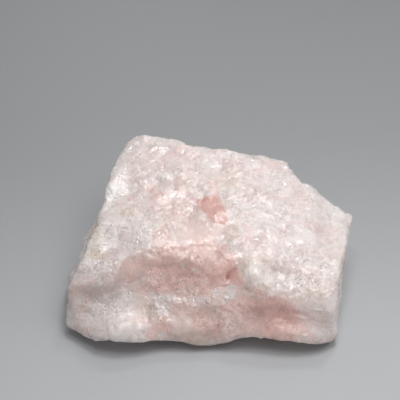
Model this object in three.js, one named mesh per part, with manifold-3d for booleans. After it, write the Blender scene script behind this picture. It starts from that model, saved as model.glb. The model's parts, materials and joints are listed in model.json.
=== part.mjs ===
// A rough, hand-sized lump of morganite, the pink beryl: one broken piece of a larger crystal.
// Millimetres. +X runs along the lump, +Y towards its tall back edge and +Z up.
// The origin is the middle of its overall box, on the level break it rests on.
// Flat-sided blocks give the form, shell-shaped breaks hollow it, and a slight unevenness goes all over it.
import * as THREE from "three";
import { ConvexGeometry } from "three/addons/geometries/ConvexGeometry.js";
import { ImprovedNoise } from "three/addons/math/ImprovedNoise.js";
import { TessellateModifier } from "three/addons/modifiers/TessellateModifier.js";
import { mergeVertices } from "three/addons/utils/BufferGeometryUtils.js";
import Module from "manifold-3d";

const wasm = await Module();
wasm.setup();

const FACET = 3.2; // the longest side of the small flats that make up the skin
const BREAK_FACET = 3.6; // about how wide the flats are that line a shell-shaped break
const BREAK_ROUND = 6; // the half height of the ball that makes a break, in depths of that break
const SWELLS = { size: 7, height: 0.75 }; // the broad unevenness of the skin
const GRAIN = { size: 2.3, height: 0.25 }; // the fine unevenness of the skin
const FAR = 50; // farther out than any part of the stone
const SPLITS = 12; // enough halvings to bring any side of a flat down to FACET
const APART = 40; // how far apart the three directions of the unevenness are taken

// The left of the main body: the highest part of the sloping top and the tall back.
const BODY = [
  [-15.2, 17.3, 21.2],
  [-12.5, 17.2, 21.9],
  [-8.5, 16.2, 21.9],
  [0.5, 14.6, 21.6],
  [1.2, -5.9, 15.4],
  [-4, -6.8, 15.2],
  [-12, -8, 14.9],
  [-23.6, -10.9, 12.5],
  [-22.2, -8, 14.1],
  [-19.7, 2, 17.4],
  [-18.4, 7, 19.2],
  [-17.4, 11.4, 20.2],
  [-18, 16.4, 12],
  [-7, 18.2, 9],
  [4, 16.5, 8.5],
  [-18, 8, -1.5],
  [-12, 14, -1.5],
  [6, 12.4, -1.5],
  [4, -11, -1.5],
  [-19, -9, -1.5],
];

// The right of the main body, which meets the left in a line across the top, and the right end.
const RIGHT = [
  [0.5, 14.6, 21.6],
  [11, 13.2, 20],
  [15.4, 13, 19.3],
  [22.6, 8, 17.2],
  [28.3, 1.8, 14.8],
  [26.8, -0.6, 15],
  [24.8, -9.5, 13.2],
  [22.6, -13.2, 12.4],
  [9.2, -12.8, 13],
  [6.2, -10.4, 13.9],
  [1.2, -5.9, 15.4],
  [-2, 17.4, 8.8],
  [14, 15.2, 8],
  [27, 3, 6],
  [27.4, -1, 8],
  [-4, 12.6, -1.5],
  [10, 12, -1.5],
  [22, 3, -1.5],
  [24, -6, -1.5],
  [21, -12, -1.5],
  [2, -11, -1.5],
];

// The lower ledge along the left end, a step below the top's rim.
const LEDGE = [
  [-18.8, 6, 15.6],
  [-20.8, -4, 13.2],
  [-23.6, -10.6, 11],
  [-20, 7, 12.8],
  [-22.3, 5.4, 10.8],
  [-24, -2.6, 10],
  [-25.7, -7.6, 9],
  [-26.5, -11.6, 7.2],
  [-21.5, 5, 3],
  [-25, -8, 2],
  [-18, 5, -1.5],
  [-21.6, -11.4, -1.5],
  [-21.4, -6, -1.5],
  [-14, 0, 14],
  [-14, 6, -1.5],
];

// The front left corner: the top's rim rolls over here, and the foot bulges out below it.
const FOOT = [
  [-22.4, -7, 14],
  [-15, -6, 15],
  [-23, -10.4, 12.7],
  [-18, -9.4, 13.8],
  [-13, -8.2, 14.7],
  [-24.9, -12, 10.4],
  [-21.9, -12.6, 10.8],
  [-18.7, -12.1, 11.6],
  [-14, -10.2, 12.4],
  [-10.4, -9.2, 13],
  [-26.4, -11.9, 7.2],
  [-24.8, -13.2, 8],
  [-19.6, -13.8, 8.4],
  [-12, -13.2, 8.6],
  [-25.8, -12.8, 3.4],
  [-22.2, -15.4, 4.6],
  [-16.4, -16.9, 4.8],
  [-12, -16.4, 5],
  [-24.9, -14.4, 1],
  [-21.6, -16.3, 0.7],
  [-17, -17.7, 0.7],
  [-12, -17.5, 0.8],
  [-21.8, -12, -1.5],
  [-16.6, -14.8, -1.5],
  [-12, -14.8, -1.5],
  [-20, -4, -1.5],
  [-8, -4, -1.5],
];

// The middle of the front, which slopes down to a low toe.
const TOE = [
  [-11.4, -8.2, 14.8],
  [-8, -8.4, 13.8],
  [1, -9.4, 10.4],
  [4.8, -12.2, 9.6],
  [8.8, -15.8, 9],
  [-13.4, -16.7, 4.2],
  [-4, -16.6, 4],
  [9.6, -16.8, 5],
  [-13.6, -17.3, 0.8],
  [-8, -17.8, 0.8],
  [1.3, -18, 0.8],
  [9.6, -17.5, 0.9],
  [-12, -15, -1.5],
  [1, -15.4, -1.5],
  [7, -15, -1.5],
  [-12, -4, -1.5],
  [7, -4, -1.5],
  [-10, -2, 12],
  [6, -2, 9],
];

// The slope under the middle of the top's rim, down to the step where the hollow goes deeper.
const SLOPE = [
  [-9.4, -7.7, 14.8],
  [-4, -6.9, 15],
  [1, -6.1, 15.2],
  [5, -10, 13.7],
  [-8.7, -9.2, 13.3],
  [-4.4, -9, 12.9],
  [-1.2, -10.7, 10.9],
  [0.6, -12.2, 9.1],
  [4, -12.8, 9.6],
  [-7, -5, 10],
  [3, -7, 8],
];

// The thick front right shoulder: a narrow bevel below the top, then the steepest face.
const SHOULDER = [
  [3.4, -12.6, 9.8],
  [5.4, -12.6, 12.7],
  [8.6, -14.8, 12.1],
  [22.7, -14.6, 11.4],
  [24.8, -9.5, 13.2],
  [9.8, -16.5, 8.8],
  [22.8, -17.1, 9],
  [24.4, -13.2, 6],
  [9.4, -17.5, 1.4],
  [12, -17.4, 1],
  [19, -17.8, 0.9],
  [23.7, -17, 1],
  [24.8, -9.8, 0.8],
  [25.6, -4.6, 0.8],
  [26, -2.4, 1.4],
  [25.8, -1, 3],
  [5, -15, -1.5],
  [19, -15.6, -1.5],
  [21.8, -14.6, -1.5],
  [24, -9, -1.5],
  [25, -3, -1.5],
  [8, -4, -1.5],
  [8, -4, 12],
];

// The shell-shaped breaks. Each one goes `depth` into the blocks near the place `at`, where the stone looks
// towards `facing`, and is `long` along the direction `along`.
const BREAKS = [
  // the front: the groove above the left foot, the hollow in the middle, and the arch under the front edge
  { at: [-19, -13, 8.8], facing: [-0.1, -0.85, 0.5], along: [1, 0, 0.05], long: 16, wide: 5, depth: 0.5 },
  { at: [-5.8, -10.2, 11.8], facing: [0, -0.8, 0.6], along: [1, -0.1, -0.1], long: 21, wide: 9, depth: 1 },
  { at: [-4, -15.2, 6.6], facing: [0, -0.8, 0.6], along: [1, 0, -0.1], long: 17, wide: 8, depth: 0.5 },
  { at: [8.2, -16.6, -0.2], facing: [0, -0.85, -0.6], along: [1, 0, 0], long: 8.4, wide: 5, depth: 1.8 },
  // the top, from the back left to the front right
  { at: [-11, 12, 21], facing: [0, -0.25, 1], along: [1, -0.2, 0], long: 16, wide: 10, depth: 0.4 },
  { at: [3, 9.5, 20], facing: [0, -0.25, 1], along: [1, -0.2, 0], long: 18, wide: 11, depth: 0.4 },
  { at: [14, 7, 18], facing: [0.15, -0.25, 1], along: [1, -0.7, 0], long: 15, wide: 10, depth: 0.5 },
  { at: [-12.5, 2.5, 18], facing: [-0.1, -0.25, 1], along: [1, 0.4, 0], long: 17, wide: 11, depth: 0.5 },
  { at: [0.5, 1, 18], facing: [0, -0.3, 1], along: [1, 0, 0], long: 20, wide: 12, depth: 0.6 },
  { at: [12, -2, 16], facing: [0.1, -0.25, 1], along: [1, -0.4, 0], long: 17, wide: 11, depth: 0.5 },
  { at: [22, -2, 15], facing: [0.2, -0.15, 1], along: [0.5, 1, 0], long: 14, wide: 9, depth: 0.5 },
  { at: [-16, -5.5, 15], facing: [-0.15, -0.3, 1], along: [1, 0.1, 0], long: 15, wide: 8, depth: 0.4 },
  { at: [16, -11, 13], facing: [0.05, -0.35, 1], along: [1, -0.1, 0], long: 17, wide: 8, depth: 0.5 },
  // the slanting edge at the back right
  { at: [18.8, 9.9, 12], facing: [0.66, 0.75, 0.1], along: [0, 0, 1], long: 26, wide: 9, depth: 1.6 },
  { at: [23.6, 5, 11], facing: [0.6, 0.8, 0.1], along: [0, 0, 1], long: 20, wide: 6, depth: 0.7 },
  // the right end
  { at: [26.4, -6, 6.6], facing: [1, -0.05, -0.1], along: [0, 0.2, 1], long: 9, wide: 9, depth: 0.4 },
  { at: [25, -13, 5], facing: [1, -0.25, 0.1], along: [0, 0, 1], long: 12, wide: 7, depth: 0.6 },
  // the left end
  { at: [-24, -3.4, 5.4], facing: [-1, 0.1, 0.05], along: [0, 1, 0.2], long: 17, wide: 9, depth: 0.9 },
  { at: [-20, 9, 9], facing: [-1, 0.3, 0.1], along: [0, 0.2, 1], long: 17, wide: 11, depth: 1.1 },
  // the back
  { at: [-11, 17, 14.6], facing: [-0.1, 1, 0.1], along: [1, 0, 0.3], long: 16, wide: 12, depth: 1.3 },
  { at: [3.4, 16, 13.6], facing: [0.15, 1, 0.1], along: [1, 0, -0.2], long: 18, wide: 13, depth: 1.4 },
  { at: [-8, 16, 4.4], facing: [-0.1, 1, -0.3], along: [1, 0, 0], long: 20, wide: 10, depth: 1.1 },
  { at: [10, 14, 5], facing: [0.2, 1, -0.25], along: [1, 0, 0.4], long: 17, wide: 10, depth: 1.1 },
];

// A closed three.js geometry as a solid that can be joined and cut.
function solidOf(geometry) {
  const bare = geometry.clone();
  bare.deleteAttribute("normal");
  bare.deleteAttribute("uv");
  const merged = mergeVertices(bare);
  return new wasm.Manifold(
    new wasm.Mesh({
      numProp: 3,
      vertProperties: merged.attributes.position.array,
      triVerts: new Uint32Array(merged.index.array),
    }),
  );
}

// A joined and cut solid as a three.js geometry again.
function geometryOf(solid) {
  const { numProp, numVert, vertProperties, triVerts } = solid.getMesh();
  const places = new Float32Array(numVert * 3);
  for (let i = 0; i < numVert; i++)
    places.set(vertProperties.subarray(i * numProp, i * numProp + 3), i * 3);
  return new THREE.BufferGeometry()
    .setAttribute("position", new THREE.BufferAttribute(places, 3))
    .setIndex(new THREE.BufferAttribute(triVerts, 1));
}

// A flat-sided block with its corners at these places.
function block(corners) {
  return solidOf(new ConvexGeometry(corners.map((at) => new THREE.Vector3(...at))));
}

// The stretched ball that makes a break in the blocks: it is set against the first stone met from outside.
function breakBall(blocks, { at, facing, along, long, wide, depth }) {
  const out = new THREE.Vector3(...facing).normalize();
  const across = new THREE.Vector3().crossVectors(out, new THREE.Vector3(...along)).normalize();
  const lengthwise = new THREE.Vector3().crossVectors(across, out);
  const outside = new THREE.Vector3(...at).addScaledVector(out, FAR);
  const [met] = new THREE.Raycaster(outside, out.clone().negate()).intersectObject(blocks);
  const rise = depth * BREAK_ROUND;
  const spread = Math.sqrt(1 - (1 - 1 / BREAK_ROUND) ** 2);
  const ball = new THREE.IcosahedronGeometry(1, Math.round(long / 2 / spread / BREAK_FACET));
  ball.scale(long / 2 / spread, wide / 2 / spread, rise);
  ball.applyMatrix4(new THREE.Matrix4().makeBasis(lengthwise, across, out));
  ball.translate(...met.point.addScaledVector(out, rise - depth));
  return solidOf(ball);
}

// A geometry with small flats all over it, whose corners are moved a little by an unevenness in space.
function roughened(geometry) {
  const fine = new TessellateModifier(FACET, SPLITS).modify(geometry.toNonIndexed());
  const corners = fine.attributes.position;
  const noise = new ImprovedNoise();
  const place = new THREE.Vector3();
  for (let i = 0; i < corners.count; i++) {
    place.fromBufferAttribute(corners, i);
    const shift = new THREE.Vector3();
    for (const { size, height } of [SWELLS, GRAIN]) {
      const [x, y, z] = place.clone().divideScalar(size);
      const sway = new THREE.Vector3(
        noise.noise(x, y, z + APART),
        noise.noise(x + APART, y, z),
        noise.noise(x, y + APART, z),
      );
      shift.addScaledVector(sway, height);
    }
    corners.setXYZ(i, ...place.add(shift));
  }
  return fine;
}

let form = block(BODY);
for (const piece of [RIGHT, LEDGE, FOOT, TOE, SLOPE, SHOULDER]) form = form.add(block(piece));
const blocks = new THREE.Mesh(geometryOf(form));
for (const each of BREAKS) form = form.subtract(breakBall(blocks, each));

// Everything above the level break it rests on.
const above = new THREE.BoxGeometry(2 * FAR, 2 * FAR, FAR).translate(0, 0, FAR / 2);
const stone = solidOf(roughened(geometryOf(form))).intersect(solidOf(above));

// The stone's box is centred on the origin.
const surface = geometryOf(stone);
surface.computeBoundingBox();
const middle = surface.boundingBox.getCenter(new THREE.Vector3());
surface.translate(-middle.x, -middle.y, 0);

const crystal = new THREE.Mesh(
  surface,
  new THREE.MeshStandardMaterial({ color: 0xe6cfc9, roughness: 0.45, metalness: 0 }),
);
crystal.name = "morganite_crystal";

const part = new THREE.Group();
part.add(crystal);
export default part;
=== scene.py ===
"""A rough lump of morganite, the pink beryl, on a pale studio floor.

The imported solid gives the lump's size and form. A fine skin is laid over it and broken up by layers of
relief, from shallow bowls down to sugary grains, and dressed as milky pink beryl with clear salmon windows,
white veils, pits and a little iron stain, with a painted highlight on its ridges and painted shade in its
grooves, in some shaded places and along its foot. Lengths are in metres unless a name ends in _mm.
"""

import json
import logging
import math
from collections.abc import Iterator
from dataclasses import dataclass, field
from enum import Enum

import bpy
import numpy as np
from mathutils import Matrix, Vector
from mathutils.kdtree import KDTree

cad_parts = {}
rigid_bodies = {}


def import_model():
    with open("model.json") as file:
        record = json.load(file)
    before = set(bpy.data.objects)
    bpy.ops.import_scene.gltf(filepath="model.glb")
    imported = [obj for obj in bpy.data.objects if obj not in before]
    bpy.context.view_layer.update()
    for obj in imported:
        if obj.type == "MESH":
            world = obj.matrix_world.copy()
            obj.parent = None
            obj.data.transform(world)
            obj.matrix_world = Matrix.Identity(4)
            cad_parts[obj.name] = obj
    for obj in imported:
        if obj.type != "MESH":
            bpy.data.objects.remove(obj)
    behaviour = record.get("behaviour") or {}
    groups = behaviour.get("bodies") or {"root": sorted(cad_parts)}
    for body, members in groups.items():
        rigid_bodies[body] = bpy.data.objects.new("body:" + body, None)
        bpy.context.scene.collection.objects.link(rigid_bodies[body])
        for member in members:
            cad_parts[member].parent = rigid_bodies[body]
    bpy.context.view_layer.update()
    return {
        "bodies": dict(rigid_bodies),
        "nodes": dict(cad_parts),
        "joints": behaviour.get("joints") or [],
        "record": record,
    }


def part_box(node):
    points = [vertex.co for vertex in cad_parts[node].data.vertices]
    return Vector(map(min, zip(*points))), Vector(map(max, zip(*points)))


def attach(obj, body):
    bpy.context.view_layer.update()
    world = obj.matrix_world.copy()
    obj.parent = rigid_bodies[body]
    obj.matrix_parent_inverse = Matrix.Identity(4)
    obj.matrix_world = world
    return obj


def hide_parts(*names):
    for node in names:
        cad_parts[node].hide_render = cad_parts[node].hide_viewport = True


MM = 0.001
NODE = "morganite_crystal"
BODY = "root"
FAR_MM = 1000.0
FARTHEST = 1e9

# large numbers that turn whole-number places into chance numbers, and the width of a chance number
MIX_AXES = (73856093, 19349663, 83492791)
MIX_SEED = 2654435761
MIX_CHANNEL = 40503
MIX_AGAIN = 0x45D9F3B
MIX_SHIFTS = (16, 13, 16)
WORD = 0xFFFFFFFF

# the patches that a layer of relief leaves out: how many of its cells wide their large and small unevenness
# is, with its seed and strength, how far it is raised, how fast the patches grow, and how soft their edge is
SPOTS = ((3.5, 100, 1.0), (1.5, 200, 0.5))
SPOT_LEVEL = 0.9
SPOT_GROWTH = 1.6
SPOT_EDGE = 0.5

Colour = tuple[float, float, float]
Corners = tuple[tuple[float, float], ...]
Socket = bpy.types.NodeSocket

log = logging.getLogger("morganite")


class Zone(Enum):
    """The kinds of place on the stone, each stored on its mesh as an attribute of this name."""

    SALMON = "salmon"
    BLUSH = "blush"
    WHITE = "white"
    CREAM = "cream"
    # greyish brown places, which also carry painted shade
    SMOKE = "smoke_and_shade"
    STAIN = "stain"
    SUGAR = "sugar"
    CALM = "calm"
    STREAK = "streak"


class Form(Enum):
    """The forms that a layer of relief can take."""

    BOWLS = "shallow bowls that meet at ridges"
    GRAINS = "rounded grains that meet at grooves"
    FLAKES = "flat flakes, each with its own tilt and level"


class Side(Enum):
    """The sides a plate can be seen from: the axes across, up and towards, and which way is towards."""

    TOP = (0, 1, 2, 1.0)
    FRONT = (0, 2, 1, -1.0)


@dataclass(frozen=True)
class Patch:
    """One uneven place on the stone.

    Args:
        zone: what kind of place it is.
        at: its middle, as shares of the stone's box from the low left front corner.
        reach_mm: how far it reaches along X, Y and Z.
        strength: how strong it is in its middle.
        edge: how wide its soft edge is, as a share of its reach.
    """

    zone: Zone
    at: tuple[float, float, float]
    reach_mm: tuple[float, float, float]
    strength: float = 1.0
    edge: float = 0.5


def patches(zone: Zone, *rows: tuple) -> tuple[Patch, ...]:
    """The patches of one zone, from rows of their other values."""
    return tuple(Patch(zone, *row) for row in rows)


# the last rows of some zones are on the back and the left end, which have a little of everything
PATCHES = (
    # pale pink blushes: the front, and faint ones on the top
    *patches(
        Zone.BLUSH,
        ((0.56, 0.02, 0.22), (24.0, 7.5, 8.0), 0.9, 0.6),
        ((0.4, 0.21, 0.5), (12.0, 4.6, 4.4), 0.8, 0.5),
        ((0.74, 0.04, 0.3), (8.0, 4.0, 5.5), 0.9, 0.6),
        ((0.97, 0.3, 0.4), (2.4, 8.0, 7.0), 0.8),
        ((0.3, 0.84, 0.9), (6.0, 3.6, 3.0), 0.15, 0.9),
        ((0.82, 0.18, 0.57), (4.0, 2.4, 2.0), 0.15, 0.9),
        ((0.43, 0.96, 0.34), (9.0, 4.0, 5.0), 0.9),
        ((0.06, 0.66, 0.46), (3.4, 5.0, 5.0), 0.7),
    ),
    # clear salmon-pink places where the blush is deepest
    *patches(
        Zone.SALMON,
        ((0.7, 0.035, 0.26), (3.4, 3.0, 3.0), 0.35, 0.9),
        ((0.47, 0.96, 0.38), (3.6, 3.4, 2.4), 0.35, 0.9),
    ),
    # white, much cracked places
    *patches(
        Zone.WHITE,
        ((0.16, 0.64, 0.82), (2.2, 3.0, 4.0), 1.0),
        ((0.17, 0.44, 0.73), (5.6, 4.6, 4.0), 0.6),
        ((0.22, 0.35, 0.7), (4.0, 3.0, 3.0), 0.4),
        ((0.12, 0.23, 0.56), (5.0, 2.4, 2.0), 0.5),
        ((0.825, 0.39, 0.66), (4.6, 3.4, 3.0), 0.9),
        ((0.74, 0.3, 0.63), (3.4, 3.0, 3.0), 0.6),
        ((0.71, 0.46, 0.7), (4.0, 3.0, 3.0), 0.5),
        ((0.87, 0.55, 0.66), (3.0, 3.5, 3.0), 0.5),
        ((0.15, 0.38, 0.66), (5.5, 5.0, 3.4), 0.8),
        ((0.94, 0.56, 0.68), (2.6, 3.4, 3.0), 0.8),
        ((0.6, 0.9, 0.9), (5.0, 2.4, 3.0), 0.5),
        ((0.19, 0.07, 0.3), (4.6, 2.6, 3.2), 0.6),
        ((0.24, 0.11, 0.36), (3.0, 3.0, 1.6), 0.4),
        ((0.92, 0.04, 0.34), (3.2, 3.0, 6.0), 0.6, 0.9),
        ((0.955, 0.19, 0.3), (2.2, 4.0, 6.0), 0.7),
        ((0.62, 0.97, 0.56), (7.0, 3.4, 3.6), 0.7),
        ((0.23, 0.93, 0.3), (4.0, 3.4, 3.0), 0.6),
        ((0.04, 0.44, 0.4), (3.0, 5.0, 4.0), 0.6),
    ),
    # creamy places
    *patches(
        Zone.CREAM,
        ((0.562, 0.7, 0.86), (3.6, 3.0, 3.0), 0.5, 0.9),
        ((0.56, 0.56, 0.8), (2.0, 3.0, 3.0), 0.5, 0.9),
        ((0.11, 0.36, 0.68), (2.6, 4.0, 3.0), 0.6),
        ((0.85, 0.11, 0.52), (3.4, 2.0, 1.4), 0.4),
    ),
    # greyish brown places, mostly near the floor; the strip along the front's foot is painted shade
    *patches(
        Zone.SMOKE,
        ((0.43, 0.015, 0.1), (12.0, 3.0, 2.6), 0.8),
        ((0.31, 0.08, 0.3), (2.2, 2.4, 2.4), 0.6),
        ((0.44, 0.09, 0.3), (9.0, 3.5, 4.0), 0.3, 0.8),
        ((0.606, 0.026, 0.16), (2.4, 2.4, 2.0), 0.5),
        ((0.06, 0.12, 0.3), (2.6, 3.0, 3.4), 0.4, 0.9),
        ((0.17, 0.72, 0.7), (2.0, 8.0, 3.0), 0.4),
        ((0.7, 0.92, 0.14), (9.0, 5.0, 3.0), 0.4),
    ),
    # iron stain
    *patches(
        Zone.STAIN,
        ((0.11, 0.29, 0.64), (2.2, 1.8, 2.0), 1.0),
        ((0.205, 0.51, 0.77), (1.6, 1.4, 2.0), 0.7),
        ((0.1, 0.4, 0.7), (1.0, 3.6, 2.4), 0.7),
        ((0.76, 0.96, 0.48), (2.0, 2.4, 3.0), 0.7),
    ),
    # sugary, granular places
    *patches(
        Zone.SUGAR,
        ((0.18, 0.42, 0.72), (8.0, 7.0, 5.0), 1.0),
        ((0.12, 0.23, 0.58), (6.0, 3.0, 2.4), 0.8),
        ((0.42, 0.16, 0.44), (8.0, 4.0, 3.0), 1.0),
        ((0.31, 0.09, 0.32), (3.0, 3.0, 3.0), 1.0),
        ((0.56, 0.56, 0.8), (3.0, 3.4, 3.0), 0.7),
        ((0.86, 0.16, 0.56), (4.0, 3.0, 2.0), 0.8),
        ((0.16, 0.09, 0.36), (6.0, 3.0, 2.4), 0.7),
        ((0.28, 0.96, 0.45), (7.0, 4.0, 4.5), 1.0),
    ),
    # calm, smooth places
    *patches(
        Zone.CALM,
        ((0.77, 0.02, 0.2), (12.0, 3.0, 3.6), 0.6),
        ((0.43, 0.015, 0.08), (12.0, 3.0, 2.0), 0.8),
        ((0.17, 0.66, 0.84), (2.6, 2.6, 3.0), 0.7),
        ((0.82, 0.4, 0.66), (3.6, 2.6, 3.0), 0.6),
    ),
    # drawn-out, layered places
    *patches(
        Zone.STREAK,
        ((0.78, 0.05, 0.4), (12.0, 4.0, 4.0), 0.9),
        ((0.54, 0.05, 0.3), (6.0, 4.0, 3.0), 0.6),
        ((0.88, 0.52, 0.7), (5.0, 6.0, 4.0), 0.7),
        ((0.56, 0.95, 0.46), (12.0, 4.0, 5.0), 0.7),
    ),
)


def smooth_step(value: np.ndarray) -> np.ndarray:
    """Eases a share from 0 to 1."""
    share = np.clip(value, 0.0, 1.0)
    return share * share * (3.0 - 2.0 * share)


@dataclass(frozen=True)
class Plate:
    """A straight-sided place on the stone, such as a clear window between cracks.

    Args:
        zone: what kind of place it is.
        side: the side of the stone it is seen from.
        corners_mm: its corners as seen from that side.
        strength: how strong it is.
        edge_mm: how wide its soft edge is.
        beyond_mm: how far towards that side the stone has to be to belong to it.
        proud_mm: how far it stands proud of what lies round it.
    """

    zone: Zone
    side: Side
    corners_mm: Corners
    strength: float = 1.0
    edge_mm: float = 0.5
    beyond_mm: float = 4.0
    proud_mm: float = 0.0

    def weight(self, places: np.ndarray, uneven: np.ndarray) -> np.ndarray:
        """How strongly each place belongs to the plate.

        Args:
            places: places in millimetres.
            uneven: how far the plate's edge wanders at each place, in millimetres.

        Returns:
            One weight from 0 to 1 for each place.
        """
        across, up, towards, way = self.side.value
        seen = places[:, (across, up)]
        gap = np.full(len(places), FAR_MM)
        inside = np.zeros(len(places), dtype=bool)
        corners = np.array(self.corners_mm)
        for start, end in zip(corners, np.roll(corners, -1, axis=0)):
            edge = end - start
            along = np.clip((seen - start) @ edge / (edge @ edge), 0.0, 1.0)
            gap = np.minimum(gap, np.hypot(*(seen - start - along[:, None] * edge).T))
            beside = (start[1] > seen[:, 1]) != (end[1] > seen[:, 1])
            crossing = start[0] + (seen[:, 1] - start[1]) * edge[0] / (edge[1] or 1.0)
            inside ^= beside & (seen[:, 0] < crossing)
        depth = np.where(inside, gap, -gap) + uneven
        near = places[:, towards] * way > self.beyond_mm
        return self.strength * smooth_step(depth / self.edge_mm + 0.5) * near


def plates(side: Side, corners_mm: Corners, *finishes: tuple) -> tuple[Plate, ...]:
    """The plates of one straight-sided place, from rows of their zone, strength, edge and so on."""
    return tuple(Plate(zone, side, corners_mm, *rest) for zone, *rest in finishes)


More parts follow.
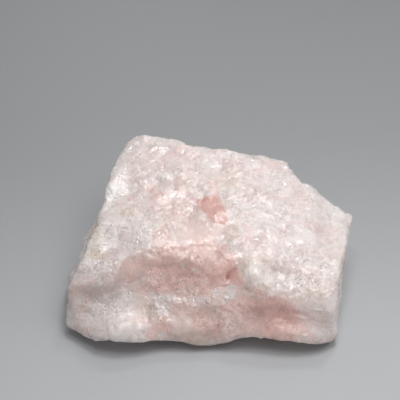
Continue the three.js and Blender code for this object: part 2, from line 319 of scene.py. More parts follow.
PLATES = (
    # greyish, creamy places beside the hollow's right end; the second, darker one is painted shade in the
    # dip below them
    *plates(
        Side.TOP,
        ((5.0, -7.5), (8.0, -8.5), (9.5, -12.5), (10.0, -14.0), (7.0, -13.2), (5.2, -11.2)),
        (Zone.CREAM, 0.4),
        (Zone.SMOKE, 0.25),
    ),
    *plates(
        Side.TOP,
        ((5.6, -12.4), (7.6, -13.2), (9.6, -14.6), (9.0, -15.6), (6.6, -14.6), (5.4, -13.4)),
        (Zone.SMOKE, 0.5),
    ),
    *plates(
        Side.TOP,
        ((8.0, -8.5), (13.5, -9.0), (17.5, -12.5), (16.0, -15.5), (9.5, -14.5)),
        (Zone.SMOKE, 0.6, 1.2),
    ),
    # the clear window on the top, its darker back edge, the stroke that leads to it, and a small one
    *plates(
        Side.TOP,
        ((-3.6, 3.0), (1.6, 3.6), (2.7, 1.3), (3.4, -2.1), (0.6, -2.2), (-1.9, 0.5)),
        (Zone.SALMON, 0.76, 0.5),
        (Zone.CALM, 0.6, 1.0),
    ),
    *plates(Side.TOP, ((-3.2, 3.1), (1.4, 3.7), (1.6, 2.7), (-2.8, 2.0)), (Zone.SALMON, 0.9, 0.5)),
    *plates(Side.TOP, ((-0.9, 7.3), (0.2, 7.9), (1.4, 3.6), (-0.5, 3.4)), (Zone.SALMON, 0.25, 0.9)),
    *plates(Side.TOP, ((-12.7, 5.6), (-11.0, 5.8), (-11.2, 4.5), (-12.5, 4.7)), (Zone.SALMON, 0.55, 0.6)),
    # faint straight-sided blushes on the top
    *plates(Side.TOP, ((-9.8, 11.9), (-2.1, 13.1), (-1.1, 5.4), (-8.5, 5.7)), (Zone.BLUSH, 0.20, 0.6)),
    *plates(
        Side.TOP,
        ((-11.6, 5.0), (-4.7, 4.6), (-2.1, -0.4), (-8.0, -1.5), (-11.5, 0.8)),
        (Zone.BLUSH, 0.35, 0.5),
    ),
    *plates(
        Side.TOP,
        ((5.4, -3.8), (10.7, -2.1), (12.6, -9.1), (8.5, -12.5), (6.0, -10.2)),
        (Zone.BLUSH, 0.15, 0.6),
    ),
    *plates(
        Side.TOP,
        ((-11.6, -8.2), (-10.6, -4.4), (-8.9, -1.8), (-7.4, -4.6), (-5.6, -8.0)),
        (Zone.BLUSH, 0.70, 0.5),
    ),
    # the smooth plate in front of the window
    *plates(
        Side.TOP,
        ((-8.7, -1.0), (-2.5, -1.2), (4.6, -2.4), (5.4, -5.0), (0.8, -5.6), (-5.6, -7.0), (-8.0, -5.6)),
        (Zone.BLUSH, 0.30, 0.5),
        (Zone.SMOKE, 0.18, 0.5),
        (Zone.CALM, 0.9, 0.8),
    ),
    # painted shade: the band above the left foot, a trough facing down and forward, darkened grey as if in
    # shadow
    *plates(
        Side.FRONT,
        (
            (-26.4, 10.3), (-23.0, 10.9), (-20.0, 11.2), (-17.2, 11.6),
            (-16.6, 10.4), (-18.5, 9.6), (-22.0, 9.0), (-26.4, 8.8),
        ),
        (Zone.SMOKE, 0.60, 1.0),
        (Zone.CALM, 1.0, 1.0),
    ),
    # the dimple at the hollow's left end
    *plates(
        Side.FRONT,
        (
            (-17.8, 12.0), (-17.0, 13.4), (-15.3, 14.4), (-13.2, 14.9), (-10.6, 15.0), (-9.0, 14.4),
            (-9.2, 13.2), (-11.3, 12.6), (-12.3, 11.4), (-15.0, 11.0), (-17.4, 11.2),
        ),
        (Zone.SMOKE, 0.30, 0.5),
        (Zone.SALMON, 0.30, 0.5),
        (Zone.CALM, 1.0, 0.8),
    ),
    # the hollow's slope, and the part of it above the rim, which faces up and is darkened with salmon and
    # smoke as painted shade
    *plates(
        Side.FRONT,
        (
            (-9.1, 15.3), (-2.1, 15.4), (0.9, 15.6), (3.2, 14.6), (5.6, 12.6), (6.0, 11.3),
            (3.2, 10.8), (0.4, 10.0), (-1.4, 11.9), (-4.4, 13.6), (-8.7, 13.5),
        ),
        (Zone.SALMON, 0.18, 0.6),
        (Zone.BLUSH, 1.0, 0.6),
        (Zone.CALM, 0.5, 0.6),
    ),
    *plates(
        Side.TOP,
        ((-9.0, -7.2), (-5.6, -7.2), (0.8, -6.0), (3.2, -6.2), (2.4, -9.2), (-4.0, -9.8), (-9.0, -9.2)),
        (Zone.SALMON, 0.36, 0.7, 12.0),
        (Zone.SMOKE, 0.36, 0.7, 12.0),
    ),
    *plates(Side.FRONT, ((-2.0, 13.9), (0.0, 13.8), (0.6, 12.6), (-0.8, 12.4)), (Zone.WHITE, 0.25, 0.4)),
    # the alcove that goes deeper into the hollow, its upper part and its foot, whose flatter bulge is
    # darkened with smoke as painted shade
    *plates(
        Side.FRONT,
        (
            (-12.0, 11.0), (-11.4, 13.0), (-8.7, 13.3), (-4.4, 13.2), (-1.6, 11.6),
            (0.2, 9.9), (-1.5, 8.9), (-6.0, 8.6), (-10.4, 9.2),
        ),
        (Zone.BLUSH, 1.0, 0.6),
        (Zone.SUGAR, 0.6, 0.6),
    ),
    *plates(
        Side.FRONT,
        ((-10.6, 13.2), (-8.7, 13.3), (-4.4, 13.2), (-1.4, 11.5), (-2.4, 10.6), (-5.0, 11.4), (-9.0, 11.4)),
        (Zone.SALMON, 0.14, 0.5),
    ),
    *plates(Side.FRONT, ((-11.5, 9.8), (-3.4, 9.8), (-3.0, 8.0), (-11.0, 8.0)), (Zone.SMOKE, 0.35, 0.8)),
    # the pale plates below it
    *plates(
        Side.FRONT,
        ((-18.8, 6.6), (-14.6, 6.9), (-13.6, 4.4), (-15.8, 3.0), (-18.4, 3.6)),
        (Zone.WHITE, 0.3, 0.4),
        (Zone.CALM, 1.0, 0.6, 4.0, 0.25),
    ),
    *plates(
        Side.FRONT,
        ((-7.6, 6.8), (-4.4, 7.3), (-3.9, 5.4), (-6.0, 4.2), (-7.4, 4.9)),
        (Zone.WHITE, 0.35, 0.6),
        (Zone.CALM, 0.8, 0.8),
    ),
    # the front's right end: pale places, partly painted light that brightens the steep face below the bevel,
    # blushing and salmon places, and a smoky strip of painted shade along the foot
    *plates(
        Side.FRONT,
        ((14.5, 11.0), (24.5, 11.5), (25.0, 4.0), (21.0, 3.0), (17.5, 6.0), (15.5, 9.0)),
        (Zone.WHITE, 0.6, 1.2),
    ),
    *plates(
        Side.FRONT, ((16.0, 11.6), (25.0, 11.6), (25.0, 5.4), (19.0, 6.0)), (Zone.WHITE, 0.3, 1.6, 11.0)
    ),
    *plates(Side.FRONT, ((5.0, 12.0), (16.0, 11.2), (17.0, 6.0), (5.0, 6.0)), (Zone.BLUSH, 0.9, 1.6, 11.0)),
    *plates(
        Side.FRONT,
        (
            (7.0, 11.4), (9.5, 11.4), (13.6, 10.4), (15.6, 8.6),
            (15.0, 5.6), (13.0, 3.2), (9.8, 3.0), (8.0, 6.0),
        ),
        (Zone.SALMON, 0.34, 2.4, 11.0),
    ),
    *plates(Side.FRONT, ((4.0, 4.2), (24.0, 4.6), (24.0, 0.8), (4.0, 0.8)), (Zone.SMOKE, 0.45, 1.6, 11.0)),
)


@dataclass(frozen=True)
class Cells:
    """Uneven cells that fill space, with one seed and one lean to each.

    Args:
        size_mm: about how wide a cell is.
        seed: which set of cells it is.
        stretch: how many times longer than wide the cells are along X, Y and Z.
    """

    size_mm: float
    seed: int
    stretch: tuple[float, float, float] = (1.0, 1.0, 1.0)

    def chance(self, cell: np.ndarray, channel: int) -> np.ndarray:
        """Chance numbers for cells.

        Args:
            cell: whole-number cell places, one row each.
            channel: which of a cell's chance numbers.

        Returns:
            One number from 0 to 1 for each row.
        """
        mixed = cell[:, 0] * MIX_AXES[0] ^ cell[:, 1] * MIX_AXES[1] ^ cell[:, 2] * MIX_AXES[2]
        mixed = (mixed ^ (self.seed * MIX_SEED + channel * MIX_CHANNEL)) & WORD
        for shift in MIX_SHIFTS:
            mixed = ((mixed >> shift) ^ mixed) * MIX_AGAIN & WORD
        return mixed / (WORD + 1.0)

    def near(self, points: np.ndarray, reach: int) -> Iterator[tuple[np.ndarray, np.ndarray]]:
        """The cells round each place, in turn.

        Args:
            points: places in millimetres.
            reach: how many cells away they may be.

        Yields:
            For each place one cell, and the gap from its seed to the place as a share of a cell.
        """
        place = points / (self.size_mm * np.array(self.stretch))
        home = np.floor(place).astype(np.int64)
        for step in np.ndindex(*(2 * reach + 1,) * 3):
            cell = home + np.array(step) - reach
            seeds = cell + np.stack([self.chance(cell, k) for k in range(3)], axis=1)
            yield cell, place - seeds

    def relief(self, points: np.ndarray, form: Form, bowl: float, lean: float) -> np.ndarray:
        """Heights of a relief with one bowl, grain or flake to each cell.

        Args:
            points: places in millimetres.
            form: what each cell looks like.
            bowl: how deep each bowl or how uneven the flakes' levels are, as a share of a cell's width.
            lean: how much each cell tips to one side.

        Returns:
            A height in millimetres at each place, about 0 on average.
        """
        nearest = np.full(len(points), FARTHEST)
        height = np.zeros(len(points))
        for cell, gap in self.near(points, 2):
            tips = np.stack([self.chance(cell, 3 + k) - 0.5 for k in range(3)], axis=1)
            slope = lean * (gap * tips).sum(1)
            if form is Form.FLAKES:
                rank = (gap**2).sum(1)
                level = slope + bowl * (self.chance(cell, 6) - 0.5)
            else:
                rank = bowl * (gap**2).sum(1) + slope
                level = rank
            closer = rank < nearest
            nearest = np.where(closer, rank, nearest)
            height = np.where(closer, level, height)
        height = (height - np.median(height)) * self.size_mm
        return -height if form is Form.GRAINS else height

    def tones(self, points: np.ndarray) -> np.ndarray:
        """Tones that are the same all over a cell.

        Args:
            points: places in millimetres.

        Returns:
            One tone from 0 to 1 for each place.
        """
        nearest = np.full(len(points), FARTHEST)
        tone = np.zeros(len(points))
        for cell, gap in self.near(points, 1):
            rank = (gap**2).sum(1)
            closer = rank < nearest
            nearest = np.where(closer, rank, nearest)
            tone = np.where(closer, self.chance(cell, 7), tone)
        return tone

    def drift(self, points: np.ndarray) -> np.ndarray:
        """Soft uneven values about a cell wide.

        Args:
            points: places in millimetres.

        Returns:
            One value from -1 to 1 for each place.
        """
        place = points / (self.size_mm * np.array(self.stretch))
        home = np.floor(place).astype(np.int64)
        share = smooth_step(place - home)
        total = np.zeros(len(points))
        for corner in np.ndindex(2, 2, 2):
            weight = np.prod(np.where(corner, share, 1.0 - share), axis=1)
            total += weight * self.chance(home + np.array(corner), 0)
        return total * 2.0 - 1.0


@dataclass(frozen=True)
class Relief:
    """One layer of relief of one size, stronger in some zones than others.

    Args:
        cells: the cells it is made from.
        form: what each cell looks like.
        bowl: how deep each cell is, as a share of its width.
        lean: how much each cell tips to one side.
        strength: how strong the layer is where no zone changes it.
        zones: how much stronger it is in each zone, or weaker below zero.
        patchy: how much of the stone the layer leaves out, in patches a few cells wide.
    """

    cells: Cells
    form: Form
    bowl: float
    lean: float
    strength: float
    zones: dict[Zone, float] = field(default_factory=dict)
    patchy: float = 0.0

    def heights(self, points: np.ndarray, zones: dict[Zone, np.ndarray]) -> np.ndarray:
        """How far the layer moves each place outwards.

        Args:
            points: places in millimetres.
            zones: how strongly each place belongs to each zone.

        Returns:
            One height in millimetres for each place.
        """
        share = np.full(len(points), self.strength)
        for zone, change in self.zones.items():
            share += change * zones[zone]
        if self.patchy:
            spots = sum(
                strength * Cells(self.cells.size_mm * size, self.cells.seed + seed).drift(points)
                for size, seed, strength in SPOTS
            )
            share *= smooth_step((spots + SPOT_LEVEL - SPOT_GROWTH * self.patchy) / SPOT_EDGE)
        height = self.cells.relief(points, self.form, self.bowl, self.lean)
        return np.clip(share, 0.0, None) * height


@dataclass(frozen=True)
class Chips:
    """Flat chips of one size, struck off wherever the stone stands proud.

    Args:
        reach: how far each chip reaches from its middle.
        cover: how many times over the chips cover the stone.
        lean: how far a chip's flat may lean from the stone's own slope.
        kept: the share of the stone within reach that stays below the flat.
        seed: which set of chips it is.
        zones: how much deeper the chips bite in each zone, or less below zero.
        fade: how wide the soft rim of a chip's reach is, as a share of the reach.
        fewest: the fewest corners that a chip is struck off.
    """

    reach: float
    cover: float
    lean: float
    kept: float
    seed: int
    zones: dict[Zone, float] = field(default_factory=dict)
    fade: float = 0.35
    fewest: int = 8

    def strike(
        self, points: np.ndarray, normals: np.ndarray, zones: dict[Zone, np.ndarray], area: float
    ) -> None:
        """Strikes the chips off, by moving the corners above each chip's flat down to it.

        Args:
            points: the stone's corners, which are changed.
            normals: its outward directions.
            zones: how strongly each corner belongs to each zone.
            area: the stone's area.
        """
        chance = np.random.default_rng(self.seed)
        tree = KDTree(len(points))
        for index, point in enumerate(points):
            tree.insert(point, index)
        tree.balance()
        count = int(self.cover * area / (math.pi * self.reach**2))
        share = np.ones(len(points))
        for zone, change in self.zones.items():
            share += change * zones[zone]
        share = np.clip(share, 0.0, 1.0)
        for middle in chance.integers(0, len(points), count):
            found = tree.find_range(points[middle], self.reach)
            near = np.array([index for _, index, _ in found])
            if len(near) < self.fewest:
                continue
            inside = 1.0 - np.array([gap for _, _, gap in found]) / self.reach
            out = normals[near].mean(0) + self.lean * chance.uniform(-1.0, 1.0, 3)
            out /= np.linalg.norm(out)
            height = points[near] @ out
            proud = np.clip(height - np.quantile(height, self.kept), 0.0, None)
            points[near] -= (proud * share[near] * smooth_step(inside / self.fade))[:, None] * out


@dataclass(frozen=True)
class Rise:
    """A stretch of the stone's lower edge that stands clear of the floor.

    Args:
        heading: which way it lies from the stone's middle, in degrees from +X towards +Y.
        half_turn: how far round it reaches to each side, in degrees.
        height: how high the edge is lifted in its middle.
        out: how far the edge is drawn outwards, as a share of the lift.
    """

    heading: float
    half_turn: float
    height: float
    out: float = 0.9

    def at(self, headings: np.ndarray) -> np.ndarray:
        """How high the edge is lifted at each heading."""
        off = np.abs((headings - self.heading + 180.0) % 360.0 - 180.0)
        return self.height * smooth_step(1.0 - off / self.half_turn)


@dataclass(frozen=True)
class Worn:
    """A place where the stone's flats run into each other more softly than elsewhere.

    Args:
        at: its middle, as shares of the stone's box from the low left front corner.
        reach_mm: how far it reaches along X, Y and Z.
        growth: how fast it grows from its edge towards its middle.
    """

    at: tuple[float, float, float]
    reach_mm: tuple[float, float, float]
    growth: float = 1.6

    def weights(self, points: np.ndarray) -> np.ndarray:
        """How strongly each place is rubbed.

        Args:
            points: places in metres.

        Returns:
            One weight from 0 to 1 for each place.
        """
        low, high = (np.array(corner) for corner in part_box(NODE))
        gap = (points - low - np.array(self.at) * (high - low)) / (np.array(self.reach_mm) * MM)
        return smooth_step(self.growth * (1.0 - np.sqrt((gap**2).sum(1))))


@dataclass
class Lump:
    """The stone itself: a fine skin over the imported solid.

    Args:
        weld: how close corners of the solid are to be joined.
        grain: the width of the skin's small faces.
        ease: how many times the solid's large flats are eased into each other.
        filled: how many times they are eased to find the cracks between them, which are filled.
        rubs: how many times more they are eased where the stone is worn.
        rub_steps: how many steps there are from not rubbed to fully rubbed.
        pull: how far corners are drawn towards their neighbours each time.
        worn: where the stone is worn.
        crease: the angle above which an edge between small faces stays sharp.
        foot: how high above the floor the relief reaches its full strength.
        rises: where the lower edge is lifted clear of the floor, all round.
        fading: how high above the floor the lift has faded away.
        low: up to how high above the floor the stone's outline on the floor is taken.
        turns: how many directions the outline is taken in.
        ledge: how far under the stone the lift begins, for an edge that is not lifted.
        ledge_growth: how much farther in it begins for each metre of lift.
        waves: what makes the lift uneven.
        wavy: how uneven it is.
        warps: what shifts the relief's cells: a size in millimetres, a first seed and a share for each.
        warp_mm: how far they are shifted at most.
        zone_waves: what makes the zones' edges uneven.
        ragged: how uneven that, the flakes and the crumbs make them, as shares of a zone's reach.
        plate_waves: what makes the plates' edges wander.
        wander_mm: how far that and the crumbs make them wander.
        triangles: how many triangles the finished stone has.
        spread: how many times the stone is eased to find its ridges and grooves.
        broad: the layers of relief that come before the large chips.
        fine: the layers that come after them.
        chips: the chips, of which the last kind is small and comes after the fine layers.
    """

    weld: float = 0.001 * MM
    grain: float = 0.17 * MM
    ease: int = 30
    filled: int = 60
    rubs: int = 350
    rub_steps: int = 10
    pull: float = 0.5
    crease: float = math.radians(24.0)
    foot: float = 0.9 * MM
    rises: tuple[Rise, ...] = (
        Rise(-90.0, 4000.0, 1.9 * MM, 0.9),
        Rise(-72.0, 11.0, 0.4 * MM, 0.0),
        Rise(-134.0, 24.0, 1.9 * MM, 0.85),
        Rise(-160.0, 22.0, 1.2 * MM, 0.1),
        Rise(-55.0, 20.0, 1.9 * MM, 0.95),
        Rise(-33.0, 14.0, -0.9 * MM, 0.9),
        Rise(-8.0, 30.0, 0.2 * MM, -2.5),
        Rise(80.0, 30.0, 0.8 * MM),
    )
    fading: float = 9.0 * MM
    low: float = 2.0 * MM
    turns: int = 120
    ledge: float = 3.0 * MM
    ledge_growth: float = 2.0
    waves: Cells = Cells(5.0, 61)
    wavy: float = 0.35
    warps: tuple[tuple[float, int, float], ...] = ((3.0, 41, 1.0), (1.1, 51, 0.4))
    warp_mm: float = 0.5
    zone_waves: Cells = Cells(4.0, 17)
    ragged: tuple[float, float, float] = (0.25, 0.5, 0.3)
    plate_waves: Cells = Cells(1.3, 19)
    wander_mm: tuple[float, float] = (0.22, 0.5)
    triangles: int = 190_000
    spread: int = 14
    broad: tuple[Relief, ...] = (
        Relief(Cells(10.0, 3), Form.BOWLS, 0.06, 0.08, 1.0, {Zone.CALM: -0.5}),
        Relief(Cells(5.0, 5), Form.BOWLS, 0.08, 0.20, 0.8, {Zone.CALM: -0.6}),
        Relief(Cells(2.8, 7), Form.BOWLS, 0.06, 0.28, 0.9, {Zone.CALM: -0.7}, 0.20),
        Relief(Cells(2.4, 13, (3.2, 3.2, 0.7)), Form.FLAKES, 0.05, 0.14, 0.0, {Zone.STREAK: 0.9}),
    )
    fine: tuple[Relief, ...] = (
        Relief(Cells(1.4, 11), Form.BOWLS, 0.10, 0.36, 0.5, {Zone.SUGAR: 0.3, Zone.CALM: -0.4}, 0.40),
        Relief(Cells(0.7, 23), Form.GRAINS, 0.12, 0.40, 0.35, {Zone.SUGAR: 0.8, Zone.CALM: -0.3}, 0.45),
    )
    worn: tuple[Worn, ...] = (
        Worn((0.565, 0.180, 0.52), (4.6, 4.0, 3.8)),
        Worn((0.640, 0.060, 0.36), (4.5, 4.0, 5.5)),
        Worn((0.150, 0.150, 0.48), (8.0, 4.0, 3.0)),
    )
    chips: tuple[Chips, ...] = (
        Chips(3.4 * MM, 1.2, 0.20, 0.85, 31, {Zone.CALM: -0.5}),
        Chips(1.7 * MM, 2.2, 0.30, 0.84, 32, {Zone.CALM: -0.6}),
        Chips(0.8 * MM, 0.9, 0.30, 0.82, 33, {Zone.CALM: -0.6}),
    )

    def build(self, frame: dict) -> bpy.types.Object:
        """Makes the stone and puts it in the frame.

        Args:
            frame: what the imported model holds.

        Returns:
            The finished stone.
        """
        stone = self.skin(frame["nodes"][NODE])
        points = self.read(stone, "co")
        self.lift(points)
        self.write(stone, points)
        start = points.copy()
        flakes = self.broad[2].cells.tones(self.warped(points))
        crumbs = self.fine[0].cells.tones(self.warped(points))
        zones = self.zones(points, flakes, crumbs)
        points = self.step(points, self.read(stone, "normal"), crumbs)
        self.write(stone, points)
        area = sum(face.area for face in stone.data.polygons)
        for layers, chips in ((self.broad, self.chips[:-1]), (self.fine, self.chips[-1:])):
            points = self.raise_by(layers, points, self.read(stone, "normal"), zones)
            self.write(stone, points)
            for chip in chips:
                chip.strike(points, self.read(stone, "normal"), zones, area)
                self.write(stone, points)
        self.settle(points, start)
        self.write(stone, points)
        self.keep(stone, "ridge", self.ridges(stone, points))
        for zone, weights in zones.items():
            self.keep(stone, zone.value, weights)
        self.keep(stone, "flake", flakes)
        self.keep(stone, "crumb", crumbs)
        self.thin(stone)
        self.soften(stone)
        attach(stone, BODY)
        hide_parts(NODE)
        log.info("stone: %d faces", len(stone.data.polygons))
        return stone

    def skin(self, solid: bpy.types.Object) -> bpy.types.Object:
        """Lays a fine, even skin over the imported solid.

        Args:
            solid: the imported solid, which is left as it is.

        Returns:
            The skin as a new object.
        """
        stone = bpy.data.objects.new("stone", solid.data.copy())
        bpy.context.scene.collection.objects.link(stone)
        self.choose(stone)
        bpy.ops.object.mode_set(mode="EDIT")
        bpy.ops.mesh.select_all(action="SELECT")
        bpy.ops.mesh.remove_doubles(threshold=self.weld)
        bpy.ops.object.mode_set(mode="OBJECT")
        remesh = stone.modifiers.new("fine skin", "REMESH")
        remesh.mode = "VOXEL"
        remesh.voxel_size = self.grain
        bpy.ops.object.modifier_apply(modifier=remesh.name)
        self.rub(stone, self.ease)
        self.fill(stone)
        corners = self.read(stone, "co")
        self.rub(stone, self.rubs, np.max([place.weights(corners) for place in self.worn], axis=0))
        return stone

    def rub(self, stone: bpy.types.Object, times: int, weights: np.ndarray | None = None) -> None:
        """Eases the stone's flats into each other.

        Args:
            stone: the stone.
            times: how many times it is rubbed.
            weights: how strongly each corner is rubbed, or all of them alike.
        """
        ease = stone.modifiers.new("eased flats", "SMOOTH")
        ease.factor = self.pull
        ease.iterations = times
        if weights is not None:
            group = stone.vertex_groups.new(name="worn")
            for step in range(1, self.rub_steps + 1):
                chosen = np.flatnonzero(np.round(weights * self.rub_steps) == step)
                group.add(chosen.tolist(), step / self.rub_steps, "REPLACE")
            ease.vertex_group = group.name
        bpy.ops.object.modifier_apply(modifier=ease.name)
        stone.vertex_groups.clear()

    def choose(self, stone: bpy.types.Object) -> None:
        """Makes the stone the only chosen object.

        Args:
            stone: the stone.
        """
        bpy.ops.object.select_all(action="DESELECT")
        stone.select_set(True)
        bpy.context.view_layer.objects.active = stone

    def read(self, stone: bpy.types.Object, what: str) -> np.ndarray:
        """Reads one kind of value off the stone's corners.

        Args:
            stone: the stone.
            what: "co" for their places or "normal" for their outward directions.

        Returns:
            One row of three for each corner.
        """
        values = np.empty(len(stone.data.vertices) * 3)
        stone.data.vertices.foreach_get(what, values)
        return values.reshape(-1, 3)

    def write(self, stone: bpy.types.Object, points: np.ndarray) -> None:
        """Moves the stone's corners to these places."""
        stone.data.vertices.foreach_set("co", points.astype(np.float32).ravel())
        stone.data.update()

    def zones(
        self, points: np.ndarray, flakes: np.ndarray, crumbs: np.ndarray
    ) -> dict[Zone, np.ndarray]:
        """How strongly each place belongs to each zone.

        Args:
            points: places in metres.
            flakes: the tone of the flake at each place.
            crumbs: the tone of the crumb at each place.

        Returns:
            One weight from 0 to 1 for each place, for each zone.
        """
        low, high = (np.array(corner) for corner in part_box(NODE))
        wave, flake, crumb = self.ragged
        uneven = wave * self.zone_waves.drift(points / MM) + flake * (flakes - 0.5) + crumb * (crumbs - 0.5)
        weights = {zone: np.zeros(len(points)) for zone in Zone}
        for patch in PATCHES:
            gap = (points - low - np.array(patch.at) * (high - low)) / (np.array(patch.reach_mm) * MM)
            inside = 1.0 - np.sqrt((gap**2).sum(1)) + uneven
            weight = patch.strength * smooth_step(inside / patch.edge)
            weights[patch.zone] = np.maximum(weights[patch.zone], weight)
        wander = self.wander(points, crumbs)
        for plate in PLATES:
            weights[plate.zone] = np.maximum(weights[plate.zone], plate.weight(points / MM, wander))
        return weights

    def wander(self, points: np.ndarray, crumbs: np.ndarray) -> np.ndarray:
        """How far a plate's edge wanders at each place, in millimetres."""
        wave, crumb = self.wander_mm
        return wave * self.plate_waves.drift(points / MM) + crumb * (crumbs - 0.5)

    def step(self, points: np.ndarray, normals: np.ndarray, crumbs: np.ndarray) -> np.ndarray:
        """Steps the stone's plates out of it or into it.

        Args:
            points: the corners in metres.
            normals: their outward directions.
            crumbs: the tone of the crumb at each corner.

        Returns:
            The corners' new places.
        """
        wander = self.wander(points, crumbs)
        height = np.zeros(len(points))
        for plate in PLATES:
            if plate.proud_mm:
                height += plate.proud_mm / plate.strength * plate.weight(points / MM, wander)
        return points + normals * (height * MM)[:, None]

    def lift(self, points: np.ndarray) -> None:
        """Lifts the stone's lower edge clear of the floor, and leaves its resting face flat.

        Args:
            points: the stone's corners, which are changed.
        """
        headings = np.degrees(np.arctan2(points[:, 1], points[:, 0]))
        reach = np.hypot(points[:, 0], points[:, 1])
        low = points[:, 2] < self.low
        turn_wide = 360.0 / self.turns
        turn = np.floor((headings + 180.0) / turn_wide).astype(np.int64) % self.turns
        outline = np.zeros(self.turns)
        np.maximum.at(outline, turn[low], reach[low])
        outline = (np.roll(outline, 1) + outline + np.roll(outline, -1)) / 3.0
        wobble = 1.0 + self.wavy * self.waves.drift(points * (1.0, 1.0, 0.0) / MM)
        rise = sum(each.at(headings) for each in self.rises) * wobble
        out = sum(each.out * each.at(headings) for each in self.rises) * wobble
        middles = np.arange(self.turns) * turn_wide - 180.0 + 0.5 * turn_wide
        edge = np.interp(headings, middles, outline, period=360.0)
        near = 1.0 - smooth_step((edge - reach) / (self.ledge + self.ledge_growth * rise))
        fall = 1.0 - smooth_step(points[:, 2] / self.fading)
        points[:, :2] *= 1.0 + (out * near * fall / np.maximum(reach, MM))[:, None]
        points[:, 2] += rise * near * fall

    def warped(self, points: np.ndarray) -> np.ndarray:
        """Shifts places a little, so that cells have uneven edges.

        Args:
            points: places in metres.

        Returns:
            The shifted places in millimetres.
        """
        place = points / MM
        warp = sum(
            share * np.stack([Cells(size_mm, seed + axis).drift(place) for axis in range(3)], axis=1)
            for size_mm, seed, share in self.warps
        )
        return place + self.warp_mm * warp

    def raise_by(
        self,
        layers: tuple[Relief, ...],
        points: np.ndarray,
        normals: np.ndarray,
        zones: dict[Zone, np.ndarray],
    ) -> np.ndarray:
        """Moves corners outwards by layers of relief.

        Args:
            layers: the layers of relief.
            points: the corners in metres.
            normals: their outward directions.
            zones: how strongly each corner belongs to each zone.

        Returns:
            The corners' new places.
        """
        place = self.warped(points)
        height = sum(layer.heights(place, zones) for layer in layers)
        above = smooth_step(points[:, 2] / self.foot)
        return points + normals * (height * above * MM)[:, None]

    def fill(self, stone: bpy.types.Object) -> None:
        """Fills the stone's narrow grooves, and leaves its ridges sharp.

        Args:
            stone: the stone.
        """
        corners = self.read(stone, "co")
        self.rub(stone, self.filled)
        out = self.read(stone, "normal")
        depth = np.clip(((self.read(stone, "co") - corners) * out).sum(1), 0.0, None)
        self.write(stone, corners + out * depth[:, None])

    def ridges(self, stone: bpy.types.Object, points: np.ndarray) -> np.ndarray:
        """How far corners stand out of what lies close round them.

        Args:
            stone: the stone.
            points: its corners.

        Returns:
            One height in millimetres for each corner, below zero in grooves.
        """
        ends = np.empty(len(stone.data.edges) * 2, dtype=np.int32)
        stone.data.edges.foreach_get("vertices", ends)
        first, second = ends.reshape(-1, 2).T
        count = len(points)
        shared = np.bincount(first, minlength=count) + np.bincount(second, minlength=count)
        eased = points.copy()
        for _ in range(self.spread):
            for axis in range(3):
                near = np.bincount(first, eased[second, axis], count)
                near += np.bincount(second, eased[first, axis], count)
                eased[:, axis] = 0.5 * (eased[:, axis] + near / shared)
        return ((points - eased) * self.read(stone, "normal")).sum(1) / MM

    def settle(self, points: np.ndarray, start: np.ndarray) -> None:
        """Puts the resting face back where it was, level on the floor.

        Args:
            points: the stone's corners, which are changed.
            start: where they were before the relief.
        """
        resting = start[:, 2] < self.grain
        points[resting] = start[resting]
        points[:, 2] = np.maximum(points[:, 2], 0.0)

    def keep(self, stone: bpy.types.Object, name: str, weights: np.ndarray) -> None:
        """Stores one weight for each corner on the stone's mesh."""
        attribute = stone.data.attributes.new(name, "FLOAT", "POINT")
        attribute.data.foreach_set("value", weights.astype(np.float32))

    def thin(self, stone: bpy.types.Object) -> None:
        """Merges the small faces where the stone is flat, and leaves them where it is rough.

        Args:
            stone: the stone.
        """
        self.choose(stone)
        faces = sum(len(face.vertices) - 2 for face in stone.data.polygons)
        thin = stone.modifiers.new("merged flats", "DECIMATE")
        thin.ratio = min(1.0, self.triangles / faces)
        bpy.ops.object.modifier_apply(modifier=thin.name)
        log.info("skin: %d triangles thinned to %d", faces, len(stone.data.polygons))

    def soften(self, stone: bpy.types.Object) -> None:
        """Shades the stone smooth, with its sharper edges kept."""
        self.choose(stone)
        bpy.ops.object.shade_smooth_by_angle(angle=self.crease)


@dataclass(frozen=True)
class Clouds:
    """Cloudy values about 0.5.

    Args:
        size_mm: how wide a cloud is.
        detail: how many finer layers of cloud there are.
        rough: how strong the finer layers are.
        twist: how twisted the clouds are.
    """

    size_mm: float
    detail: float = 3.0
    rough: float = 0.55
    twist: float = 0.0


